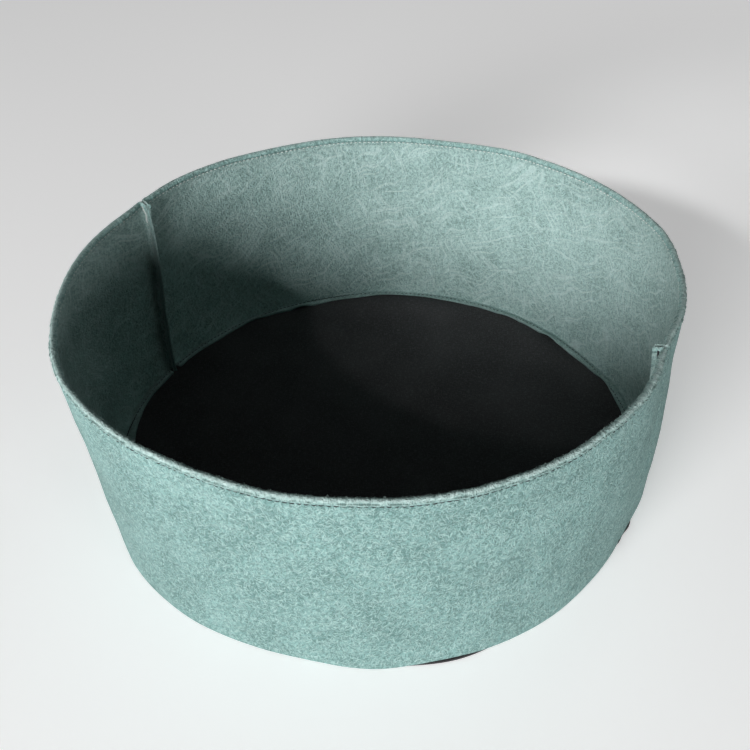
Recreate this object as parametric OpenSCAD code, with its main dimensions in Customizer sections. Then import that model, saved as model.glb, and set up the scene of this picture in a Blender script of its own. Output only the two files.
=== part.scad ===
// Round planter bag of thick felt: two wall panels and a disc of base cloth, held by lockstitched seams.
// Z is up from the ground. The side seams are on the X axis, and the front panel faces -Y.
// Each seam has a needle thread on one side of the cloth and a bobbin thread on the other.

/* [Bag] */
// Outside diameter at the top edge
top_d = 550; // [300:10:800]
// Outside diameter at the foot of the wall
base_d = 528; // [290:8:780]
// Height of the top edge above the ground
bag_h = 200; // [120:10:400]

/* [Cloth] */
// Thickness of the wall felt
felt_t = 2; // [1.5:0.5:4]
// Thickness of the base cloth
base_t = 2; // [1.5:0.5:4]

/* [Seams] */
// Height of the band that is folded in along the top edge
hem_w = 10; // [10:1:30]
// How far the wall's lower edge is turned in over the base
turn_in = 10; // [8:1:25]
// How far the side seams' allowances stand into the bag
allowance_w = 8; // [6:1:15]

/* [Stitching] */
// Thickness of the sewing thread
thread_d = 0.8; // [0.4:0.1:1]
// From the top edge down to the hem's stitch line
hem_stitch_drop = 6; // [5:0.5:9]
// From the wall's inner face in to the side seams' stitch line
side_stitch_in = 3; // [2:0.5:5]
// From the wall's inner face in to the base seam's stitch line
base_stitch_in = 5; // [3:0.5:6]

/* [Hidden] */

felt_colour = [0.56, 0.70, 0.68];
base_colour = [0.10, 0.10, 0.11];
needle_colour = [0.16, 0.15, 0.16];
bobbin_colour = [0.86, 0.89, 0.87];

// A thread lies in a square groove that leaves this much room around it.
thread_room = 0.05;
groove_w = thread_d + 2 * thread_room;
thread_sink = thread_room + thread_d / 2;
// Angle that a hem's stitching stops short of each side seam
hem_end_angle = 1;
// Length that a side seam's stitching stops short of the wall's top edge and of its foot
side_end_gap = 8;
// How far a grooving tool or a joined plate reaches past the face that it crosses
overrun = 1;

base_r = base_d / 2;
// The wall leans outwards by this angle, and wall_len is its length along the slope.
lean = atan2((top_d - base_d) / 2, bag_h - base_t - felt_t);
wall_len = felt_t + (bag_h - base_t - felt_t * (1 + sin(lean))) / cos(lean);
base_stitch_r = base_r - felt_t - base_stitch_in;
hem_stitch_s = wall_len - hem_stitch_drop;
side_stitch_x = -felt_t - side_stitch_in;
side_stitch_len = wall_len - 2 * side_end_gap;

$fn = 96;

// Puts a flat profile on the wall's slope: X outwards from its outer face, Y up along it from its foot.
module on_wall_profile() {
    translate([base_r, base_t])
        rotate([0, 0, -lean])
            children();
}

// Puts a solid on the wall's slope at the right side seam, with Z up along the slope.
module on_right_wall() {
    translate([base_r, 0, base_t])
        rotate([0, lean, 0])
            children();
}

// Cross-section of a wall panel: the folded-in hem, the wall, and the edge turned in over the base.
module wall_profile() {
    on_wall_profile()
        difference() {
            union() {
                translate([-felt_t, 0])
                    square([felt_t, wall_len - felt_t]);
                translate([-2 * felt_t, wall_len - hem_w])
                    square([felt_t, hem_w - felt_t]);
                translate([-felt_t, wall_len - felt_t])
                    circle(r = felt_t);
            }
            hem_groove(0);
            hem_groove(-2 * felt_t);
        }
    difference() {
        translate([base_r - felt_t - turn_in, base_t])
            square([turn_in + felt_t, felt_t]);
        translate([base_stitch_r, base_t + felt_t])
            square([groove_w, 2 * groove_w], center = true);
    }
}

// Groove of the hem's stitch line in the face at face_x of the wall's profile
module hem_groove(face_x) {
    translate([face_x, hem_stitch_s])
        square([2 * groove_w, groove_w], center = true);
}

// The half of the wall at -Y, all round from one side seam to the other
module half_wall() {
    rotate([0, 0, 180])
        rotate_extrude(angle = 180)
            wall_profile();
}

// Seam allowance of the front panel at the right side seam, with the groove of its stitch line
module right_allowance() {
    on_right_wall()
        difference() {
            translate([-felt_t - allowance_w, -felt_t, felt_t / 2])
                cube([allowance_w + felt_t / 2, felt_t, wall_len - 1.5 * felt_t]);
            translate([side_stitch_x, -felt_t, wall_len / 2])
                cube([groove_w, 2 * groove_w, side_stitch_len + 2 * thread_room], center = true);
        }
}

module front_panel_shape() {
    difference() {
        union() {
            half_wall();
            right_allowance();
            mirror([1, 0, 0])
                right_allowance();
        }
        base_seam_tunnel();
    }
}

// The base seam's thread passes under the feet of the side seams' allowances.
module base_seam_tunnel() {
    translate([0, 0, base_t + felt_t - groove_w])
        rotate_extrude()
            translate([base_stitch_r - groove_w / 2, 0])
                square([groove_w, groove_w]);
}

module front_wall() {
    color(felt_colour)
        front_panel_shape();
}

module back_wall() {
    color(felt_colour)
        mirror([0, 1, 0])
            front_panel_shape();
}

// Round base cloth, with the groove of the base seam's bobbin thread underneath
module base_panel() {
    color(base_colour)
        difference() {
            cylinder(h = base_t, r = base_r);
            translate([0, 0, -overrun])
                rotate_extrude()
                    translate([base_stitch_r - groove_w / 2, 0])
                        square([groove_w, groove_w + overrun]);
        }
}

// Thread of the front hem, lying in the groove of the wall's face at face_x; side is 1 where the
// cloth is on the thread's inner side, and -1 where it is on the outer side.
module front_hem_thread(face_x, side) {
    rotate([0, 0, 180 + hem_end_angle])
        rotate_extrude(angle = 180 - 2 * hem_end_angle)
            on_wall_profile()
                translate([face_x - side * thread_sink, hem_stitch_s])
                    circle(d = thread_d);
}

module front_hem_needle_thread() {
    color(needle_colour)
        front_hem_thread(0, 1);
}

module front_hem_bobbin_thread() {
    color(bobbin_colour)
        front_hem_thread(-2 * felt_t, -1);
}

module back_hem_needle_thread() {
    color(needle_colour)
        mirror([0, 1, 0])
            front_hem_thread(0, 1);
}

module back_hem_bobbin_thread() {
    color(bobbin_colour)
        mirror([0, 1, 0])
            front_hem_thread(-2 * felt_t, -1);
}

// Thread of the right side seam, on the front panel's allowance, which is uppermost as it is sewn
module right_seam_thread() {
    on_right_wall()
        translate([side_stitch_x, -felt_t + thread_sink, side_end_gap])
            cylinder(h = side_stitch_len, d = thread_d);
}

module right_seam_needle_thread() {
    color(needle_colour)
        right_seam_thread();
}

module right_seam_bobbin_thread() {
    color(bobbin_colour)
        mirror([0, 1, 0])
            right_seam_thread();
}

// The left side seam is sewn with the back panel uppermost, so its needle thread is on that side.
module left_seam_needle_thread() {
    color(needle_colour)
        mirror([1, 0, 0])
            mirror([0, 1, 0])
                right_seam_thread();
}

module left_seam_bobbin_thread() {
    color(bobbin_colour)
        mirror([1, 0, 0])
            right_seam_thread();
}

// Ring of thread of the base seam, with its centre line at height z
module base_seam_ring(z) {
    translate([0, 0, z])
        rotate_extrude()
            translate([base_stitch_r, 0])
                circle(d = thread_d);
}

module base_seam_needle_thread() {
    color(needle_colour)
        base_seam_ring(base_t + felt_t - thread_sink);
}

module base_seam_bobbin_thread() {
    color(bobbin_colour)
        base_seam_ring(thread_sink);
}

front_wall();
back_wall();
base_panel();
front_hem_needle_thread();
front_hem_bobbin_thread();
back_hem_needle_thread();
back_hem_bobbin_thread();
right_seam_needle_thread();
right_seam_bobbin_thread();
left_seam_needle_thread();
left_seam_bobbin_thread();
base_seam_needle_thread();
base_seam_bobbin_thread();
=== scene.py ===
import math
import random
import bpy
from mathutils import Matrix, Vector, noise


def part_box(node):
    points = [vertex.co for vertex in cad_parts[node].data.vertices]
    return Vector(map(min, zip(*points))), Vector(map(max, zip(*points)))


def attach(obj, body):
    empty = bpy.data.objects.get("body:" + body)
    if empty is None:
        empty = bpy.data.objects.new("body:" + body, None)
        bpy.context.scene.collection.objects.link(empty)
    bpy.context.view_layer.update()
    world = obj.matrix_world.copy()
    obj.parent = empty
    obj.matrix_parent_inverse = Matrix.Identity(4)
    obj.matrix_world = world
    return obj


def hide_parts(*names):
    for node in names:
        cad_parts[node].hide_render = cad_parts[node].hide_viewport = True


# A round planter bag of thick grey-green felt, standing open and empty on a pale floor
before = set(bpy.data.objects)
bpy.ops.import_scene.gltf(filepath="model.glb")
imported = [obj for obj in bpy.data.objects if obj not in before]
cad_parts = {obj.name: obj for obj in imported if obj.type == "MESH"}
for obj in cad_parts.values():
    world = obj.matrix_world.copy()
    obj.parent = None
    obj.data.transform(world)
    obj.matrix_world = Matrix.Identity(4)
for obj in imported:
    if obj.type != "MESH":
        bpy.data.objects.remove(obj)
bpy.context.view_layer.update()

# ---- Front and back wall panels --------------------------------------------------------------
# Each half of the wall is one strip of needle-punched felt, 2 mm thick. Its top edge is folded in
# as a hem, its lower edge turns in over the base, and its two side edges turn in at side seams.
# Felt is soft, so the wall isn't a true cone: the top edge wanders and the base seam puckers it.
wall_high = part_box("front_wall")[1]
base_low, base_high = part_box("base_panel")
RIM_RADIUS = wall_high.x
FOOT_RADIUS = base_high.x
FOOT_Z = base_high.z
WALL_HEIGHT = wall_high.z - FOOT_Z

FELT = 0.002
HALF_FELT = FELT / 2
HEM_WIDTH = 0.010
HEM_STITCH_DROP = 0.006
HEM_STITCH_HEIGHT = WALL_HEIGHT - HEM_STITCH_DROP
TURN_IN = 0.010
ALLOWANCE = 0.008
STITCH_LENGTH = 0.005
STITCHES = 170
STEPS_PER_STITCH = 5
ARC_LENGTH = STITCHES * STITCH_LENGTH

# Middle radius of the cloth's bends, and outer radius of the bends into a side seam
FOOT_BEND = 0.0022
HEM_BEND = 0.0017
SEAM_BEND = 0.0036
BEND_LENGTH = SEAM_BEND * math.pi / 2
SEAM_GAP = 0.00012

# Waves round the bag, as (waves, amplitude, phase): the top edge outwards, the top edge upwards,
# and the foot outwards. They were fitted to the real bag's outline, and so were the two swells,
# which take the top edge and the foot outwards all round.
RIM_SWELL = 0.0005
FOOT_SWELL = 0.0002
RIM_WAVES_OUT = ((1, 0.0044, 5.57), (2, 0.0014, 6.17), (3, 0.0013, 4.79), (4, 0.0021, 3.92),
                 (5, 0.0004, 5.99), (9, 0.0007, 1.05))
RIM_WAVES_UP = ((3, 0.0004, 0.98), (5, 0.0003, 3.09), (9, 0.0004, 0.89), (17, 0.0002, 0.40))
FOOT_WAVES_OUT = ((1, 0.0006, 3.86), (2, 0.0015, 4.72), (3, 0.0009, 4.90), (4, 0.0005, 4.31),
                  (5, 0.0016, 5.12), (10, 0.0012, 5.94), (12, 0.0004, 4.85), (14, 0.0007, 3.85),
                  (20, 0.0003, 3.64))

# At each side seam (1 is the right one, -1 the left): how far the seam draws the top edge in; where
# it runs, towards the back, at the foot and at the top, and how high up it gets there; and how far
# its allowances lean towards the front panel, in radians, along the wall and at the stiff hem
SEAM_DRAW = {1: 0.0090, -1: 0.0012}
SEAM_DRAW_SPREAD = 0.16
SEAM_RUN = {1: (-0.010, 0.026, 0.80), -1: (-0.010, 0.0105, 0.95)}
LEAN = {1: (-0.60, -0.03), -1: (0.62, 0.30)}
LEAN_START = 0.0010
LEAN_BEND = 0.0045
CORNER_DROP = 0.25

# Slow and quick swells of the soft wall, and how much the felt's thickness varies
SLOW_SWELL = 0.0016
QUICK_SWELL = 0.0006
THICKNESS_WANDER = 0.00015

# The foot is turned in from this far beside a side seam. Its free edge wanders and lifts.
TURNED_IN_FROM = 0.0035
EDGE_WANDER = 0.0036
EDGE_LIFT = 0.0050

# The hem's stitches draw its outer and its folded layer in, and more at the needle holes. The folded
# layer thins out towards its raw edge, and at the side seams the hem is pressed flatter.
OUTER_PINCH = 0.0007
FOLDED_PINCH = 0.0012
HOLE_PINCH = 0.0005
RAW_EDGE_THINNING = 0.60
HEM_PRESSED = 0.40

# The hem's folded band is plump above its stitches, and puckered
HEM_PLUMP = 0.0004
HEM_PUCKER = 0.0009

# The cloth's own length, from the raw edge inside the foot to the raw edge of the hem
FLAT_IN = TURN_IN - FOOT_BEND + HALF_FELT
FOOT_ARC = FLAT_IN + FOOT_BEND * math.pi / 2
UPRIGHT = WALL_HEIGHT - HALF_FELT - FOOT_BEND - HALF_FELT - HEM_BEND
WALL_END = FOOT_ARC + UPRIGHT
FOLD_END = WALL_END + HEM_BEND * math.pi
HEM_END = FOLD_END + HEM_WIDTH - HEM_BEND - HALF_FELT
FOLD_HEIGHT = WALL_HEIGHT - HALF_FELT - HEM_BEND
OUTER_STITCH = WALL_END - (HEM_STITCH_DROP - HALF_FELT - HEM_BEND)
INNER_STITCH = FOLD_END + (HEM_STITCH_DROP - HALF_FELT - HEM_BEND)


def waves(table, angle):
    """Sum of the sine waves of a table of (count, amplitude, phase)."""
    return sum(size * math.sin(count * angle + phase) for count, size, phase in table)


def smooth_step(low, high, x):
    """0 below low, 1 above high, and a smooth rise between them."""
    t = min(1.0, max(0.0, (x - low) / (high - low)))
    return t * t * (3 - 2 * t)


def seam_angle(end, height):
    """Angle round the bag of the side seam at an end, at a height above the base."""
    foot, top, reached = SEAM_RUN[end]
    back = foot + (top - foot) * smooth_step(0, reached, height / WALL_HEIGHT)
    home = 0 if end == 1 else math.pi
    return home + end * back / RIM_RADIUS


def outer_radius(angle, height):
    """Radius of the wall's outer face at an angle round the bag and a height above the base."""
    rise = height / WALL_HEIGHT
    radius = FOOT_RADIUS + (RIM_RADIUS - FOOT_RADIUS) * rise
    radius += (waves(RIM_WAVES_OUT, angle) + RIM_SWELL) * smooth_step(0.05, 1, rise)
    radius += (waves(FOOT_WAVES_OUT, angle) + FOOT_SWELL) * (1 - smooth_step(0, 0.45, rise))
    for end, draw in SEAM_DRAW.items():
        away = math.remainder(angle - seam_angle(end, height), 2 * math.pi)
        radius -= draw * math.exp(-(away / SEAM_DRAW_SPREAD) ** 2) * max(0, rise) ** 2
    place = Vector((math.cos(angle), math.sin(angle), 0)) * FOOT_RADIUS + Vector((0, 0, height))
    soft = SLOW_SWELL * noise.noise(place * 13) + QUICK_SWELL * noise.noise(place * 34)
    return radius + soft * smooth_step(0, 0.2, rise)


def bend_start(end, side, height):
    """Angle round the bag at which a panel leaves the round for its side seam."""
    middle = seam_angle(end, height)
    return middle + side * end * math.asin(SEAM_BEND / (outer_radius(middle, height) - SEAM_BEND))


def on_arc(side, share, depth, height):
    """A point of a panel between its side seams. share runs from the left seam to the right one,
    depth is measured in from the outer face. side is -1 on the front panel and 1 on the back."""
    left = bend_start(-1, side, height)
    if side < 0:
        left -= 2 * math.pi
    right = bend_start(1, side, height)
    angle = left + (right - left) * share
    radius = outer_radius(angle, height) - depth
    return Vector((radius * math.cos(angle), radius * math.sin(angle), FOOT_Z + height))


def in_seam(side, end, turn, along, depth, height):
    """A point of a panel in its side seam. turn goes from 0 at the wall to 1 where the two panels
    meet, and along is the distance from there in towards the panel's raw edge."""
    start = bend_start(end, side, height)
    middle = seam_angle(end, height)
    away = abs(start - middle)
    centre_radius = outer_radius(start, height) - SEAM_BEND
    centre_in = centre_radius * math.cos(away)
    centre_side = -centre_radius * math.sin(away)
    facing = -away + turn * (math.pi / 2 + away)
    inner = depth + SEAM_GAP
    out = centre_in + (SEAM_BEND - inner) * math.cos(facing)
    across = centre_side + (SEAM_BEND - inner) * math.sin(facing)
    if along > 0:
        wall_lean, hem_lean = LEAN[end]
        lean = -side * (wall_lean + (hem_lean - wall_lean) * smooth_step(0.80, 1, height / WALL_HEIGHT))
        straight = min(along, LEAN_START)
        bent = min(max(along - LEAN_START, 0), LEAN_BEND)
        rest = max(along - LEAN_START - LEAN_BEND, 0)
        heading = lean * bent / LEAN_BEND
        curve = LEAN_BEND / lean
        run_in = straight + curve * math.sin(heading) + rest * math.cos(heading)
        run_side = curve * (1 - math.cos(heading)) + rest * math.sin(heading)
        out = centre_in - run_in + inner * math.sin(heading)
        across = centre_side + SEAM_BEND - run_side - inner * math.cos(heading)
    outward = Vector((math.cos(middle), math.sin(middle), 0))
    sideways = Vector((-math.sin(middle), math.cos(middle), 0))
    drop = CORNER_DROP * along * smooth_step(0.80, 1, height / WALL_HEIGHT)
    return outward * out - sideways * (side * end * across) + Vector((0, 0, FOOT_Z + height - drop))


def panel_point(side, way, depth, height):
    """A point of a panel: way is measured along the cloth from the start of its left seam."""
    end = -1 if way < ARC_LENGTH / 2 else 1
    past = -way if end < 0 else way - ARC_LENGTH
    if past <= 0:
        point = on_arc(side, way / ARC_LENGTH, depth, height)
    else:
        trim = 0.90 + 0.16 * noise.noise(Vector((height * 24, end * 7.3, side * 2.1)))
        along = max(0, past - BEND_LENGTH) * trim
        point = in_seam(side, end, min(1, past / BEND_LENGTH), along, depth, height)
    lift = waves(RIM_WAVES_UP, math.atan2(point.y, point.x))
    point.z += lift * smooth_step(0.3, 1, height / WALL_HEIGHT)
    return point


def cloth_middle(t):
    """Middle of the cloth at length t, as depth and height, and its outward side as a direction."""
    if t < FLAT_IN:
        return FELT + TURN_IN - t, HALF_FELT, 0, -1
    if t < FOOT_ARC:
        turn = (t - FLAT_IN) / FOOT_BEND
        depth = HALF_FELT + FOOT_BEND - FOOT_BEND * math.sin(turn)
        return depth, HALF_FELT + FOOT_BEND - FOOT_BEND * math.cos(turn), -math.sin(turn), -math.cos(turn)
    if t < WALL_END:
        return HALF_FELT, HALF_FELT + FOOT_BEND + t - FOOT_ARC, -1, 0
    if t < FOLD_END:
        turn = (t - WALL_END) / HEM_BEND
        depth = HALF_FELT + HEM_BEND - HEM_BEND * math.cos(turn)
        return depth, FOLD_HEIGHT + HEM_BEND * math.sin(turn), -math.cos(turn), math.sin(turn)
    return HALF_FELT + 2 * HEM_BEND, FOLD_HEIGHT - (t - FOLD_END), 1, 0


def stitch_pinch(way, height, folded):
    """How deep the hem's stitches draw a face in, deepest at the needle holes. Below them the folded
    layer stays pressed against the wall."""
    holes = math.cos(math.pi * way / STITCH_LENGTH) ** 2
    away = height - HEM_STITCH_HEIGHT
    if folded and away < 0:
        return FOLDED_PINCH - 0.10 * away + HOLE_PINCH * holes * math.exp(-(away / 0.0011) ** 2)
    depth, reach = (FOLDED_PINCH, 0.0015) if folded else (OUTER_PINCH, 0.0012)
    return (depth + HOLE_PINCH * holes) * math.exp(-(away / reach) ** 2)


def hem_plump(way, height):
    """How far the folded band above the stitches swells, with small slanting puckers."""
    band = smooth_step(0, 0.0014, height - HEM_STITCH_HEIGHT)
    band *= 1 - smooth_step(WALL_HEIGHT - 0.0020, WALL_HEIGHT, height)
    slant = way + 0.5 * (height - HEM_STITCH_HEIGHT)
    pucker = noise.noise(Vector((slant * 300, height * 60, 3.7)))
    return band * (HEM_PLUMP + HEM_PUCKER * pucker)


def surface_point(side, way, t, face, proud=0.0):
    """A point on a face of a panel's cloth at length t: face 1 is outside, -1 inside. proud is a
    distance beyond the face."""
    depth, height, out_depth, out_height = cloth_middle(t)
    edge = min(way, ARC_LENGTH - way)
    turned_in = smooth_step(0, TURNED_IN_FROM, edge)
    if t < WALL_END:
        # A seam allowance isn't turned in at the foot: it hangs straight down to its lower edge.
        straight = (UPRIGHT + FOOT_BEND + HALF_FELT) * t / WALL_END
        depth = HALF_FELT + (depth - HALF_FELT) * turned_in
        height = straight + (height - straight) * turned_in
        out_depth = -1 + (out_depth + 1) * turned_in
        out_height = out_height * turned_in
        size = math.hypot(out_depth, out_height)
        out_depth, out_height = out_depth / size, out_height / size
    if t < FLAT_IN:
        # The free edge of the turned-in strip wanders, and lifts here and there.
        free = (1 - t / FLAT_IN) * turned_in
        depth += EDGE_WANDER * noise.noise(Vector((way * 24, 5.3, side))) * free
        height += EDGE_LIFT * max(0, noise.noise(Vector((way * 30, 8.1, side)))) * free ** 2
    rough = noise.noise(Vector((way * 60, t * 60, 9.1 + side * 5 + face)))
    thick = HALF_FELT + THICKNESS_WANDER * rough + proud
    # Below the stitches the folded layer thins out to its felted raw edge.
    thick *= 1 - RAW_EDGE_THINNING * smooth_step(INNER_STITCH, HEM_END, t)
    depth += face * out_depth * thick
    height += face * out_height * thick
    if t > FOOT_ARC:
        pinch = stitch_pinch(way, height, t > WALL_END)
        if face > 0:
            pinch -= hem_plump(way, height)
        elif t < WALL_END:
            pinch *= 0.3
        depth += pinch if t < WALL_END else -pinch
        # At the side seams the hem's layers are pressed flat.
        pressed = 1 - smooth_step(0, 0.012, edge)
        pressed *= smooth_step(WALL_HEIGHT - 0.030, WALL_HEIGHT - 0.010, height)
        depth *= 1 - HEM_PRESSED * pressed
    # The foot's fold droops over the edge of the base to the ground.
    if t < FOOT_ARC + 0.004:
        height -= (FOOT_Z - 0.0003) * (1 - smooth_step(0.0030, 0.0065, depth)) * turned_in
    return panel_point(side, way, depth, height)


def spread(low, high, steps):
    """Evenly spaced values from low up to but not including high."""
    return [low + (high - low) * i / steps for i in range(steps)]


def panel_ways():
    """Where along the cloth a panel has its rows of points, from one raw side edge to the other."""
    beyond = [BEND_LENGTH * i / 7 for i in range(1, 8)]
    beyond += [BEND_LENGTH + ALLOWANCE * i / 8 for i in range(1, 9)]
    arc = spread(0, ARC_LENGTH, STITCHES * STEPS_PER_STITCH) + [ARC_LENGTH]
    return [-past for past in reversed(beyond)] + arc + [ARC_LENGTH + past for past in beyond]


def panel_ring():
    """The points of a panel's cross-section, as (length along the cloth, face)."""
    near = 0.0028
    outside = spread(0, FLAT_IN, 5)
    outside += spread(FLAT_IN, FOOT_ARC, 5)
    outside += spread(FOOT_ARC, OUTER_STITCH - near, 18)
    outside += spread(OUTER_STITCH - near, OUTER_STITCH + near, 8)
    outside += spread(OUTER_STITCH + near, WALL_END, 2)
    outside += spread(WALL_END, FOLD_END, 7)
    outside += spread(FOLD_END, INNER_STITCH - near / 2, 2)
    outside += spread(INNER_STITCH - near / 2, INNER_STITCH + near / 2, 5)
    outside += spread(INNER_STITCH + near / 2, HEM_END, 3) + [HEM_END]
    inside = [HEM_END] + spread(HEM_END, FOLD_END, 4)[1:]
    inside += spread(FOLD_END, WALL_END, 3)
    inside += spread(WALL_END, WALL_END - HEM_WIDTH, 3)
    inside += spread(WALL_END - HEM_WIDTH, FOOT_ARC, 18)
    inside += spread(FOOT_ARC, FLAT_IN, 3)
    inside += spread(FLAT_IN, 0, 5) + [0]
    return [(t, 1) for t in outside] + [(t, -1) for t in inside]


def mesh_piece(name, vertices, faces, uvs, uv_name, smooth_angle):
    """A closed mesh piece with outward faces and one UV map, given a place for each vertex."""
    mesh = bpy.data.meshes.new(name)
    mesh.from_pydata(vertices, [], faces)
    layer = mesh.uv_layers.new(name=uv_name)
    for loop in mesh.loops:
        layer.data[loop.index].uv = uvs[loop.vertex_index]
    piece = bpy.data.objects.new(name, mesh)
    bpy.context.scene.collection.objects.link(piece)
    for other in bpy.context.selected_objects:
        other.select_set(False)
    bpy.context.view_layer.objects.active = piece
    piece.select_set(True)
    bpy.ops.object.mode_set(mode="EDIT")
    bpy.ops.mesh.select_all(action="SELECT")
    bpy.ops.mesh.normals_make_consistent(inside=False)
    bpy.ops.object.mode_set(mode="OBJECT")
    bpy.ops.object.shade_smooth_by_angle(angle=math.radians(smooth_angle))
    piece.select_set(False)
    return piece


def make_panel(name, side):
    """The thick sheet of one wall panel, with its own lengths as its UV map."""
    ring = panel_ring()
    count = len(ring)
    vertices = []
    uvs = []
    for way in panel_ways():
        for t, face in ring:
            vertices.append(surface_point(side, way, t, face))
            uvs.append((way, t if face > 0 else t + 0.5))
    rows = len(vertices) // count
    faces = []
    for i in range(rows - 1):
        for j in range(count):
            a, b = i * count + j, i * count + (j + 1) % count
            faces.append((a, b, b + count, a + count))
    faces.append(tuple(range(count)))
    faces.append(tuple(range((rows - 1) * count, rows * count)))
    return mesh_piece(name, vertices, faces, uvs, "cloth", 50)


class Wire:
    """An output of a shader node. Sums and products of wires and numbers add Math nodes."""

    def __init__(self, tree, socket):
        self.tree = tree
        self.socket = socket

    def maths(self, operation, first, second=0.0):
        return add_node(self.tree, "ShaderNodeMath", {"operation": operation}, {0: first, 1: second})

    def __add__(self, other):
        return self.maths("ADD", self, other)

    def __radd__(self, other):
        return self.maths("ADD", other, self)

    def __sub__(self, other):
        return self.maths("SUBTRACT", self, other)

    def __rsub__(self, other):
        return self.maths("SUBTRACT", other, self)

    def __mul__(self, other):
        return self.maths("MULTIPLY", self, other)

    def __rmul__(self, other):
        return self.maths("MULTIPLY", other, self)


def add_node(tree, kind, settings, inputs, output=0):
    """Adds a node, sets its settings, then fills its inputs with values or wires."""
    node = tree.nodes.new(kind)
    for key, value in settings.items():
        if key == "stops":
            ramp = node.color_ramp
            while len(ramp.elements) < len(value):
                ramp.elements.new(0.5)
            for element, (at, colour) in zip(ramp.elements, value):
                element.position = at
                element.color = colour
        else:
            setattr(node, key, value)
    for key, value in inputs.items():
        if isinstance(value, Wire):
            tree.links.new(value.socket, node.inputs[key])
        else:
            node.inputs[key].default_value = value
    return Wire(tree, node.outputs[output])


def new_material(name):
    """A material with a principled shader, as (material, node tree, shader node)."""
    material = bpy.data.materials.new(name)
    material.use_nodes = True
    tree = material.node_tree
    return material, tree, tree.nodes["Principled BSDF"]


def fibre_layer(tree, cloth, turn, length, width, shift, low, high):
    """A mask of short straight fibres that lie mostly one way on the cloth."""
    laid = add_node(tree, "ShaderNodeMapping", {"vector_type": "TEXTURE"},
                    {"Vector": cloth, "Location": (shift, shift * 0.7, 0), "Rotation": (0, 0, turn),
                     "Scale": (length, width, 1)})
    strands = add_node(tree, "ShaderNodeTexNoise", {"noise_dimensions": "2D"},
                       {"Vector": laid, "Scale": 1, "Detail": 1, "Roughness": 0.5})
    return add_node(tree, "ShaderNodeMapRange", {"clamp": True},
                    {"Value": strands, "From Min": low, "From Max": high})


def mix_colours(tree, factor, first, second):
    """A blend of two colours or colour wires."""
    return add_node(tree, "ShaderNodeMix", {"data_type": "RGBA"},
                    {"Factor": factor, "A": first, "B": second}, 2)


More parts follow.
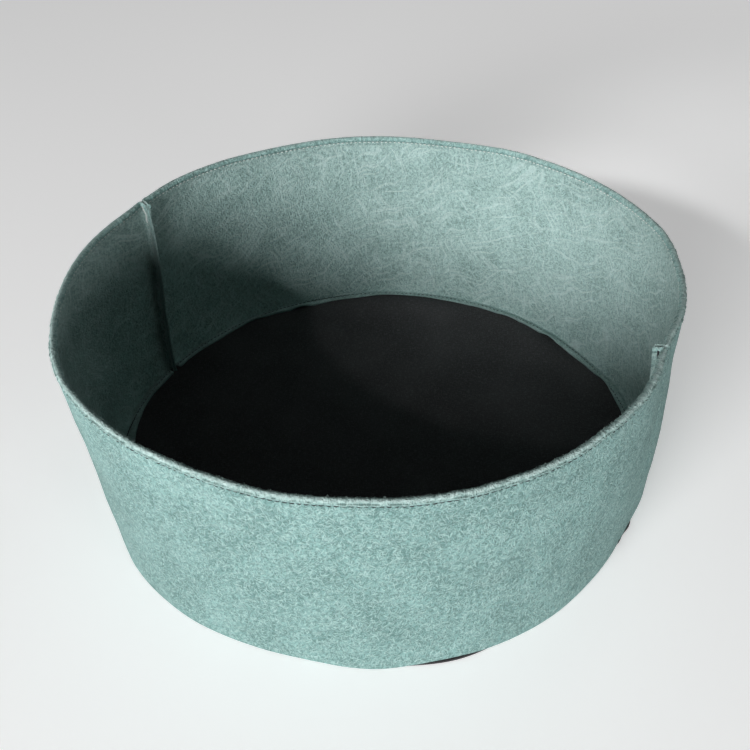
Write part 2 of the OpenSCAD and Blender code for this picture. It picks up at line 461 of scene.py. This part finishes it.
def felt_material():
    """Needle-punched felt: a grey-green body colour under pale and dark fibres that lie all ways.
    Its inner face is paler and has long soft rub marks. The crest of the hem is painted paler, partly wear
    and partly a painted highlight where its fibres catch the light, and the hem's stitch grooves are
    painted dark as painted shade."""
    material, tree, shader = new_material("grey_green_felt")
    cloth = add_node(tree, "ShaderNodeUVMap", {"uv_map": "cloth"}, {})
    across = add_node(tree, "ShaderNodeSeparateXYZ", {}, {0: cloth}, 1)
    inner = across.maths("GREATER_THAN", across, INNER_STITCH + 0.0004)
    cloud = add_node(tree, "ShaderNodeTexNoise", {"noise_dimensions": "2D"},
                     {"Vector": cloth, "Scale": 24, "Detail": 3, "Roughness": 0.6})
    blotch = add_node(tree, "ShaderNodeTexNoise", {"noise_dimensions": "2D"},
                      {"Vector": cloth, "Scale": 260, "Detail": 3, "Roughness": 0.7})
    tone = add_node(tree, "ShaderNodeMapRange", {"clamp": True},
                    {"Value": cloud * 0.5 + blotch * 0.5, "From Min": 0.39, "From Max": 0.61})
    outer_body = mix_colours(tree, tone, (0.130, 0.248, 0.234, 1), (0.228, 0.398, 0.380, 1))
    inner_body = mix_colours(tree, tone, (0.212, 0.318, 0.300, 1), (0.350, 0.488, 0.466, 1))
    body = mix_colours(tree, inner, outer_body, inner_body)
    dark = None
    pale = None
    for turn, shift in ((0.1, 1.0), (0.7, 2.0), (1.3, 3.0), (1.9, 4.0), (2.5, 5.0)):
        one_pale = fibre_layer(tree, cloth, turn, 0.0072, 0.0014, shift, 0.61, 0.76)
        one_dark = fibre_layer(tree, cloth, turn + 0.3, 0.0062, 0.0016, shift + 5, 0.60, 0.74)
        pale = one_pale if pale is None else pale.maths("MAXIMUM", pale, one_pale)
        dark = one_dark if dark is None else dark.maths("MAXIMUM", dark, one_dark)
    bent = add_node(tree, "ShaderNodeTexNoise", {"noise_dimensions": "2D"},
                    {"Vector": cloth, "Scale": 14}, 1)
    curled = add_node(tree, "ShaderNodeVectorMath", {"operation": "MULTIPLY_ADD"},
                      {0: bent, 1: (0.05, 0.05, 0), 2: cloth})
    rub = fibre_layer(tree, curled, 0.4, 0.060, 0.0038, 12.0, 0.53, 0.78)
    other_rub = fibre_layer(tree, curled, 2.0, 0.040, 0.0032, 14.0, 0.55, 0.80)
    rubbed = rub.maths("MAXIMUM", rub, other_rub) * (inner * 0.32 + 0.08)
    # Wear and painted highlight: the hem's crest is painted paler, partly worn and partly where its fibres
    # catch the light.
    crest = (across - (WALL_END + 0.0016)) * (1 / 0.0022)
    crest_wear_and_highlight = crest.maths("EXPONENT", crest * crest * -1)
    # Painted shade: the outer stitch groove, and the shadow under the roll just above the inner stitches,
    # are painted dark, with fewer pale flecks there.
    groove = (across - OUTER_STITCH) * (1 / 0.0007)
    groove = groove.maths("EXPONENT", groove * groove * -1)
    inner_groove = (across - (INNER_STITCH - 0.0008)) * (1 / 0.0006)
    inner_groove = inner_groove.maths("EXPONENT", inner_groove * inner_groove * -1)
    groove_shade = groove * 0.45 + inner_groove * 0.75
    tinted = mix_colours(tree, dark * (0.66 - inner * 0.16), body, (0.070, 0.148, 0.136, 1))
    tinted = mix_colours(tree, groove_shade, tinted, (0.050, 0.105, 0.096, 1))
    flecked = mix_colours(tree, pale * (0.72 - groove_shade * 0.50), tinted, (0.400, 0.580, 0.558, 1))
    paled = mix_colours(tree, rubbed, flecked, (0.560, 0.700, 0.680, 1))
    colour = mix_colours(tree, crest_wear_and_highlight * (blotch * 1.3 - 0.15), paled, (0.560, 0.690, 0.665, 1))
    tree.links.new(colour.socket, shader.inputs["Base Color"])
    fuzz = pale - dark + blotch
    bump = add_node(tree, "ShaderNodeBump", {}, {"Height": fuzz, "Strength": 0.7, "Distance": 0.0009})
    tree.links.new(bump.socket, shader.inputs["Normal"])
    shader.inputs["Roughness"].default_value = 0.95
    shader.inputs["Specular IOR Level"].default_value = 0.15
    shader.inputs["Sheen Weight"].default_value = 0.12
    shader.inputs["Sheen Roughness"].default_value = 0.6
    shader.inputs["Sheen Tint"].default_value = (0.8, 0.95, 0.92, 1)
    return material


front_panel = make_panel("front_felt_panel", -1)
back_panel = make_panel("back_felt_panel", 1)
felt = felt_material()
for panel, node in ((front_panel, "front_wall"), (back_panel, "back_wall")):
    panel.data.materials.append(felt)
    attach(panel, "root")
    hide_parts(node)

# ---- Base panel ------------------------------------------------------------------------------
# A disc of black nonwoven cloth, 2 mm thick, laid under the wall's turned-in foot and sewn to it
# all round. It lies on the ground, and the seam gathers it, so it rises in low soft folds inside.
BASE_THICK = base_high.z - base_low.z
BASE_STITCH_IN = FELT + 0.005
# Where the base's edge peeps out from under the foot, as (angle, spread, reach), and where the cloth
# rises beside the turned-in strip, as (angle, spread, radius, height)
PEEPS = ((0.05, 0.055, 0.0054), (-0.81, 0.15, 0.0056), (1.35, 0.06, 0.0050), (2.60, 0.08, 0.0052),
         (3.75, 0.05, 0.0048))
RISES = ((1.98, 0.26, 0.243, 0.0060), (1.20, 0.16, 0.240, 0.0030), (0.25, 0.20, 0.238, 0.0030),
         (3.00, 0.18, 0.240, 0.0028), (-1.9, 0.22, 0.238, 0.0034), (-0.7, 0.15, 0.238, 0.0030))
# How far the base's edge stays inside the wall's outer face, and how far it reaches out again under
# the feet of the side seams, which aren't turned in
EDGE_INSIDE = 0.0044
SEAM_FOOT_REACH = 0.0040
SEAM_FOOT_SPREAD = 0.040
# The base seam's thread presses a groove into the underside. Inside the seam the cloth ripples.
UNDERSIDE_GROOVE = 0.0010
BROAD_RIPPLE = 0.0022
FINE_RIPPLE = 0.0006


def base_lift(angle, radius):
    """How far the base cloth rises off the ground."""
    lift = 0.0
    for at, spread_angle, at_radius, height in RISES:
        away = math.remainder(angle - at, 2 * math.pi) / spread_angle
        width = 0.010 if radius > at_radius else 0.030
        lift += height * math.exp(-away ** 2 - ((radius - at_radius) / width) ** 2)
    place = Vector((radius * math.cos(angle), radius * math.sin(angle), 1.7))
    ripple = max(0, noise.noise(place * 16)) * BROAD_RIPPLE + max(0, noise.noise(place * 45)) * FINE_RIPPLE
    return lift + ripple * (1 - smooth_step(0.225, 0.248, radius))


def make_base(name):
    """The disc of base cloth: rings of points on its top, then on its underside."""
    turns = 360
    seam_radius = FOOT_RADIUS - BASE_STITCH_IN
    shares = [0.04, 0.12, 0.22, 0.32, 0.42, 0.52, 0.61, 0.69, 0.76, 0.81, 0.85, 0.88, 0.905, 0.925, 0.942]
    seam_steps = [-0.0040, -0.0022, -0.0012, -0.0006, 0, 0.0006, 0.0012, 0.0018]
    radii = [share * FOOT_RADIUS for share in shares] + [seam_radius + step for step in seam_steps]
    vertices = [Vector((0, 0, base_lift(0, 0) + BASE_THICK)), Vector((0, 0, base_lift(0, 0)))]
    uvs = [(0, 0), (0.7, 0)]
    rings = []
    for top in (True, False):
        for ring_radius in radii + [None]:
            ring = []
            for i in range(turns):
                angle = 2 * math.pi * i / turns
                edge = outer_radius(angle, 0) - EDGE_INSIDE
                for end in (1, -1):
                    away = math.remainder(angle - seam_angle(end, 0), 2 * math.pi)
                    edge += SEAM_FOOT_REACH * math.exp(-(away / SEAM_FOOT_SPREAD) ** 2)
                for at, wide, reach in PEEPS:
                    edge += reach * math.exp(-(math.remainder(angle - at, 2 * math.pi) / wide) ** 2)
                radius = edge if ring_radius is None else min(ring_radius, edge - 0.0004)
                z = base_lift(angle, radius)
                groove = math.exp(-((radius - seam_radius) / 0.0009) ** 2)
                if top:
                    z += BASE_THICK
                else:
                    z += UNDERSIDE_GROOVE * groove
                ring.append(len(vertices))
                vertices.append(Vector((radius * math.cos(angle), radius * math.sin(angle), z)))
                uvs.append((radius * math.cos(angle) + (0 if top else 0.7), radius * math.sin(angle)))
            rings.append(ring)
    half = len(rings) // 2
    faces = []
    for k in list(range(half - 1)) + list(range(half, 2 * half - 1)):
        for i in range(turns):
            j = (i + 1) % turns
            faces.append((rings[k][i], rings[k][j], rings[k + 1][j], rings[k + 1][i]))
    for i in range(turns):
        j = (i + 1) % turns
        faces.append((rings[half - 1][i], rings[half - 1][j], rings[-1][j], rings[-1][i]))
        faces.append((0, rings[0][i], rings[0][j]))
        faces.append((1, rings[half][i], rings[half][j]))
    return mesh_piece(name, vertices, faces, uvs, "cloth", 50)


def base_material():
    """Black nonwoven cloth: dull, with fine fibres and a few grey specks of lint."""
    material, tree, shader = new_material("black_base_cloth")
    cloth = add_node(tree, "ShaderNodeUVMap", {"uv_map": "cloth"}, {})
    grain = add_node(tree, "ShaderNodeTexNoise", {"noise_dimensions": "2D"},
                     {"Vector": cloth, "Scale": 700, "Detail": 3, "Roughness": 0.6})
    patch = add_node(tree, "ShaderNodeTexNoise", {"noise_dimensions": "2D"},
                     {"Vector": cloth, "Scale": 16, "Detail": 2})
    strands = fibre_layer(tree, cloth, 0.6, 0.0050, 0.0009, 7.0, 0.60, 0.75)
    more_strands = fibre_layer(tree, cloth, 2.2, 0.0050, 0.0009, 9.0, 0.60, 0.75)
    body = add_node(tree, "ShaderNodeValToRGB",
                    {"stops": [(0.35, (0.031, 0.030, 0.031, 1)), (0.65, (0.053, 0.051, 0.053, 1))]},
                    {"Fac": grain * 0.6 + patch * 0.4})
    lint = strands.maths("MAXIMUM", strands, more_strands)
    flecked = mix_colours(tree, lint * 0.35, body, (0.120, 0.118, 0.125, 1))
    tree.links.new(flecked.socket, shader.inputs["Base Color"])
    bump = add_node(tree, "ShaderNodeBump", {},
                    {"Height": grain + lint, "Strength": 0.5, "Distance": 0.0005})
    tree.links.new(bump.socket, shader.inputs["Normal"])
    shader.inputs["Roughness"].default_value = 0.9
    shader.inputs["Specular IOR Level"].default_value = 0.12
    return material


base_cloth = make_base("black_base_disc")
base_cloth.data.materials.append(base_material())
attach(base_cloth, "root")
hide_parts("base_panel")

# ---- Hem threads -----------------------------------------------------------------------------
# Lockstitches all along the folded rim: a charcoal needle thread outside and a pale bobbin thread
# inside. Each dips into the felt at the needle holes, 5 mm apart, and lies on it between them.
THREAD = 0.0008
THREAD_STEPS = 8


def thread_tube(name, path, thicknesses, ring_closed=False):
    """A round thread along a path of points, closed at its ends, with length and turn as UVs."""
    sides = 7
    count = len(path)
    vertices = []
    uvs = []
    length = 0.0
    across = None
    for i, point in enumerate(path):
        before = path[i - 1] if i > 0 or ring_closed else point
        after = path[(i + 1) % count] if i < count - 1 or ring_closed else point
        along = (after - before).normalized()
        if across is None:
            across = Vector((0, 0, 1)) if abs(along.z) < 0.7 else Vector((1, 0, 0))
        across = (across - along * across.dot(along)).normalized()
        third = along.cross(across)
        for k in range(sides):
            turn = 2 * math.pi * k / sides
            offset = across * math.cos(turn) + third * math.sin(turn)
            vertices.append(point + offset * (thicknesses[i] / 2))
            uvs.append((length, k / sides))
        if i < count - 1:
            length += (path[i + 1] - point).length
    faces = []
    for i in range(count if ring_closed else count - 1):
        for k in range(sides):
            a, b = i * sides + k, i * sides + (k + 1) % sides
            c, d = ((i + 1) % count) * sides + (k + 1) % sides, ((i + 1) % count) * sides + k
            faces.append((a, b, c, d))
    if not ring_closed:
        faces.append(tuple(range(sides)))
        faces.append(tuple(range((count - 1) * sides, count * sides)))
    return mesh_piece(name, vertices, faces, uvs, "thread", 80)


def thread_material(name, dark, light):
    """Twisted sewing thread: its plies show as fine slanting bands."""
    material, tree, shader = new_material(name)
    place = add_node(tree, "ShaderNodeUVMap", {"uv_map": "thread"}, {})
    length = add_node(tree, "ShaderNodeSeparateXYZ", {}, {0: place}, 0)
    turn = add_node(tree, "ShaderNodeSeparateXYZ", {}, {0: place}, 1)
    ply = length.maths("SINE", length * 5500 + turn * (2 * math.pi))
    wear = add_node(tree, "ShaderNodeTexNoise", {"noise_dimensions": "2D"}, {"Vector": place, "Scale": 260})
    colour = mix_colours(tree, ply * 0.3 + wear * 0.5 + 0.1, dark, light)
    tree.links.new(colour.socket, shader.inputs["Base Color"])
    bump = add_node(tree, "ShaderNodeBump", {}, {"Height": ply, "Strength": 0.4, "Distance": 0.0002})
    tree.links.new(bump.socket, shader.inputs["Normal"])
    shader.inputs["Roughness"].default_value = 0.7
    shader.inputs["Specular IOR Level"].default_value = 0.25
    return material


def finish_thread(piece, node, needle):
    """Gives a thread its material and lets it stand for its CAD node."""
    piece.data.materials.append(charcoal_thread if needle else pale_thread)
    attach(piece, "root")
    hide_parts(node)


def hem_path(side, t, proud, sink, sharp):
    """The path of a hem thread on the face at length t of the cloth, and its thickness along it. The
    sharper its dips into the needle holes, the more of it shows between them."""
    path = []
    thicknesses = []
    beyond = round(0.7 * THREAD_STEPS)
    for i in range(-beyond, STITCHES * THREAD_STEPS + beyond + 1):
        way = i * STITCH_LENGTH / THREAD_STEPS
        holes = abs(math.cos(math.pi * way / STITCH_LENGTH)) ** sharp
        slack = noise.noise(Vector((way / STITCH_LENGTH * 0.9, t * 90, side)))
        path.append(surface_point(side, way, t, 1, proud - sink * holes + 0.0002 * slack))
        thicknesses.append(THREAD * (1.1 + 0.15 * slack - 0.2 * holes))
    return path, thicknesses


charcoal_thread = thread_material("charcoal_thread", (0.010, 0.009, 0.011, 1), (0.045, 0.042, 0.048, 1))
pale_thread = thread_material("pale_thread", (0.50, 0.55, 0.53, 1), (0.86, 0.89, 0.87, 1))
for side, side_name in ((-1, "front"), (1, "back")):
    needle_path = hem_path(side, OUTER_STITCH, 0.00020, 0.0011, 6)
    needle = thread_tube(side_name + "_hem_dark_stitches", *needle_path)
    finish_thread(needle, side_name + "_hem_needle_thread", True)
    bobbin_path = hem_path(side, INNER_STITCH, 0.00045, 0.0016, 1.5)
    bobbin = thread_tube(side_name + "_hem_pale_stitches", *bobbin_path)
    finish_thread(bobbin, side_name + "_hem_bobbin_thread", False)

# ---- Side seam threads -----------------------------------------------------------------------
# Lockstitches up each side seam, 3 mm in from the crease, through both allowances. The right seam
# was sewn from the front panel's side and the left one from the back's. The stitching starts in
# the crease at the rim with a few long back-and-forth stitches, which stand proud of the felt.
SIDE_STITCH_IN = 0.0030
SIDE_END_GAP = 0.008


def side_path(side, end):
    """The path of a side seam's thread on a panel's allowance, from the foot to the rim."""
    along = BEND_LENGTH + SIDE_STITCH_IN
    way = -along if end < 0 else ARC_LENGTH + along
    top = WALL_HEIGHT - 0.0030
    steps = round((top - SIDE_END_GAP) / STITCH_LENGTH * THREAD_STEPS)
    path = []
    thicknesses = []
    for i in range(steps + 1):
        height = SIDE_END_GAP + (top - SIDE_END_GAP) * i / steps
        started = smooth_step(WALL_HEIGHT - 0.026, WALL_HEIGHT - 0.020, height)
        pitch = STITCH_LENGTH * (2.2 if started > 0.5 else 1)
        holes = math.cos(math.pi * (top - height) / pitch) ** (8 if started > 0.5 else 2)
        proud = 0.0004 * started - 0.0001 - 0.0009 * holes
        proud -= 0.0009 * (1 - smooth_step(0.015, 0.040, height))
        if height < WALL_HEIGHT - HEM_WIDTH:
            t = height / (UPRIGHT + FOOT_BEND + HALF_FELT) * WALL_END
            point = surface_point(side, way, t, -1, proud)
        else:
            point = surface_point(side, way, FOLD_END + FOLD_HEIGHT - height, 1, proud)
        path.append(point)
        thicknesses.append(THREAD * (1 + 1.1 * started))
    return path, thicknesses


for end, end_name, needle_side in ((1, "right", -1), (-1, "left", 1)):
    needle = thread_tube(end_name + "_seam_dark_stitches", *side_path(needle_side, end))
    finish_thread(needle, end_name + "_seam_needle_thread", True)
    bobbin = thread_tube(end_name + "_seam_pale_stitches", *side_path(-needle_side, end))
    finish_thread(bobbin, end_name + "_seam_bobbin_thread", False)

# ---- Base seam threads -----------------------------------------------------------------------
# One round of lockstitches holds the wall's turned-in foot down on the base, 5 mm in from the wall:
# a charcoal needle thread on the felt inside, and a pale bobbin thread under the base.
BASE_STITCHES = 324


def base_seam_path(height, lift):
    """The path of a base seam thread at a height, drawn up or down by lift at the needle holes."""
    path = []
    for i in range(BASE_STITCHES * THREAD_STEPS):
        angle = 2 * math.pi * i / (BASE_STITCHES * THREAD_STEPS)
        holes = math.cos(math.pi * i / THREAD_STEPS) ** 2
        radius = FOOT_RADIUS - BASE_STITCH_IN
        path.append(Vector((radius * math.cos(angle), radius * math.sin(angle), height + lift * holes)))
    return path


even = [THREAD] * (BASE_STITCHES * THREAD_STEPS)
needle_path = base_seam_path(FOOT_Z + FELT + 0.0002, -0.0009)
needle = thread_tube("base_seam_dark_stitches", needle_path, even, True)
finish_thread(needle, "base_seam_needle_thread", True)
bobbin_path = base_seam_path(0.00045, 0.0006)
bobbin = thread_tube("base_seam_pale_stitches", bobbin_path, even, True)
finish_thread(bobbin, "base_seam_bobbin_thread", False)

# ---- Loose fibres ----------------------------------------------------------------------------
# Short ends of fibre that stand out of the felt along the rim's fold and the raw edges of the side
# seams, where handling has brushed them up.
RIM_FIBRES = 2200
EDGE_FIBRES = 130


def add_fibre(vertices, faces, root, middle, tip, thickness):
    """One fibre: a bent three-sided spike from root through middle to tip."""
    along = (tip - root).normalized()
    across = along.orthogonal().normalized()
    third = along.cross(across)
    first = len(vertices)
    for centre, size in ((root, 1.0), (middle, 0.8)):
        for k in range(3):
            turn = 2 * math.pi * k / 3
            offset = across * math.cos(turn) + third * math.sin(turn)
            vertices.append(centre + offset * (thickness / 2 * size))
    vertices.append(tip)
    for k in range(3):
        j = (k + 1) % 3
        faces.append((first + k, first + j, first + 3 + j, first + 3 + k))
        faces.append((first + 3 + k, first + 3 + j, first + 6))
    faces.append((first + 2, first + 1, first))


def make_fibres(name):
    """All the loose fibres, as one piece."""
    chance = random.Random(11)
    vertices = []
    faces = []
    for side in (-1, 1):
        for i in range(RIM_FIBRES + EDGE_FIBRES):
            if i < RIM_FIBRES:
                way = chance.uniform(-BEND_LENGTH, ARC_LENGTH + BEND_LENGTH)
                t = chance.uniform(WALL_END - 0.0015, FOLD_END + 0.0030)
            else:
                past = BEND_LENGTH + ALLOWANCE * chance.uniform(0.8, 0.99)
                way = -past if chance.random() < 0.5 else ARC_LENGTH + past
                t = chance.uniform(WALL_END * 0.15, FOLD_END)
            tuft = max(0, noise.noise(Vector((way * 90, side, 0.5))))
            reach = chance.uniform(0.0004, 0.0012) + 0.0016 * tuft * chance.random()
            slide = chance.uniform(-0.0015, 0.0015)
            climb = chance.uniform(-0.0008, 0.0008)
            root = surface_point(side, way, t, 1, -0.0002)
            middle = surface_point(side, way + 0.35 * slide, t + 0.35 * climb, 1, 0.6 * reach)
            tip = surface_point(side, way + slide, t + climb, 1, reach)
            add_fibre(vertices, faces, root, middle, tip, chance.uniform(0.00018, 0.00032))
    return mesh_piece(name, vertices, faces, [(0, 0)] * len(vertices), "cloth", 60)


def fibre_material():
    """Single fibres: the felt's own green, paler here and there at random."""
    material, tree, shader = new_material("loose_fibre")
    place = add_node(tree, "ShaderNodeTexCoord", {}, {}, 3)
    shade = add_node(tree, "ShaderNodeTexNoise", {}, {"Vector": place, "Scale": 300})
    colour = mix_colours(tree, shade, (0.22, 0.34, 0.31, 1), (0.55, 0.68, 0.64, 1))
    tree.links.new(colour.socket, shader.inputs["Base Color"])
    shader.inputs["Roughness"].default_value = 0.8
    return material


fibres = make_fibres("rim_loose_fibres")
fibres.data.materials.append(fibre_material())
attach(fibres, "root")

# ---- Floor, light and camera -----------------------------------------------------------------
# A plain pale floor that glows a little, as a lightbox does. One soft low light stands in front, with
# weak ones on the right, behind and above, and a narrow lamp shines over the front rim.
FLOOR_GAP = 0.0003
for other in bpy.context.selected_objects:
    other.select_set(False)
floor_place = (0, 0, base_low.z - FLOOR_GAP)
bpy.ops.mesh.primitive_circle_add(vertices=96, radius=9, fill_type="NGON", location=floor_place)
floor = bpy.context.object
floor.name = "floor"
floor_material, _, floor_shader = new_material("pale_floor")
floor_shader.inputs["Base Color"].default_value = (0.86, 0.86, 0.86, 1)
floor_shader.inputs["Roughness"].default_value = 0.9
floor_shader.inputs["Specular IOR Level"].default_value = 0.1
floor_shader.inputs["Emission Color"].default_value = (1, 1, 1, 1)
floor_shader.inputs["Emission Strength"].default_value = 0.38
floor.data.materials.append(floor_material)

world = bpy.data.worlds.new("studio")
bpy.context.scene.world = world
world.use_nodes = True
world.node_tree.nodes["Background"].inputs["Color"].default_value = (1, 1, 1, 1)
world.node_tree.nodes["Background"].inputs["Strength"].default_value = 0.025

LIGHT_DISTANCE = 4
SNOOT_DISTANCE = 3.2


def studio_light(name, azimuth, elevation, wide, tall, power):
    """An oval soft light that faces the bag from an azimuth and an elevation, in degrees."""
    az, el = math.radians(azimuth), math.radians(elevation)
    way = Vector((math.cos(el) * math.cos(az), math.cos(el) * math.sin(az), math.sin(el)))
    data = bpy.data.lights.new(name, "AREA")
    data.shape = "ELLIPSE"
    data.size = wide
    data.size_y = tall
    data.energy = power
    lamp = bpy.data.objects.new(name, data)
    lamp.location = Vector((0, 0, 0.1)) + way * LIGHT_DISTANCE
    lamp.rotation_euler = (-way).to_track_quat("-Z", "Y").to_euler()
    bpy.context.scene.collection.objects.link(lamp)


studio_light("key", -88, 17, 2.2, 1.2, 170)
studio_light("right_fill", -20, 5, 1.2, 0.6, 40)
studio_light("back_fill", 90, 22, 1.2, 1.2, 8)
studio_light("top_fill", -90, 88, 2.0, 2.0, 4)

# The narrow lamp lights the back wall's inner face.
snoot = bpy.data.lights.new("inner", "SPOT")
snoot.energy = 640
snoot.spot_size = math.radians(6.4)
snoot.spot_blend = 1
snoot.shadow_soft_size = 0.2
snoot_lamp = bpy.data.objects.new("inner", snoot)
snoot_target = Vector((-0.005, 0.27, 0.155))
snoot_way = Vector((-0.10, -0.86, 0.50)).normalized()
snoot_lamp.location = snoot_target + snoot_way * SNOOT_DISTANCE
snoot_lamp.rotation_euler = (-snoot_way).to_track_quat("-Z", "Y").to_euler()
bpy.context.scene.collection.objects.link(snoot_lamp)

camera_data = bpy.data.cameras.new("camera")
camera_data.sensor_width = 36
camera_data.lens = 47.32
camera_data.clip_end = 50
camera = bpy.data.objects.new("camera", camera_data)
bpy.context.scene.collection.objects.link(camera)
camera.location = (0.39165, -0.61359, 0.68605)
camera.rotation_mode = "XYZ"
camera.rotation_euler = (math.radians(50.5324), math.radians(1.9945), math.radians(30.8263))
bpy.context.scene.camera = camera
bpy.context.scene.view_settings.view_transform = "Standard"
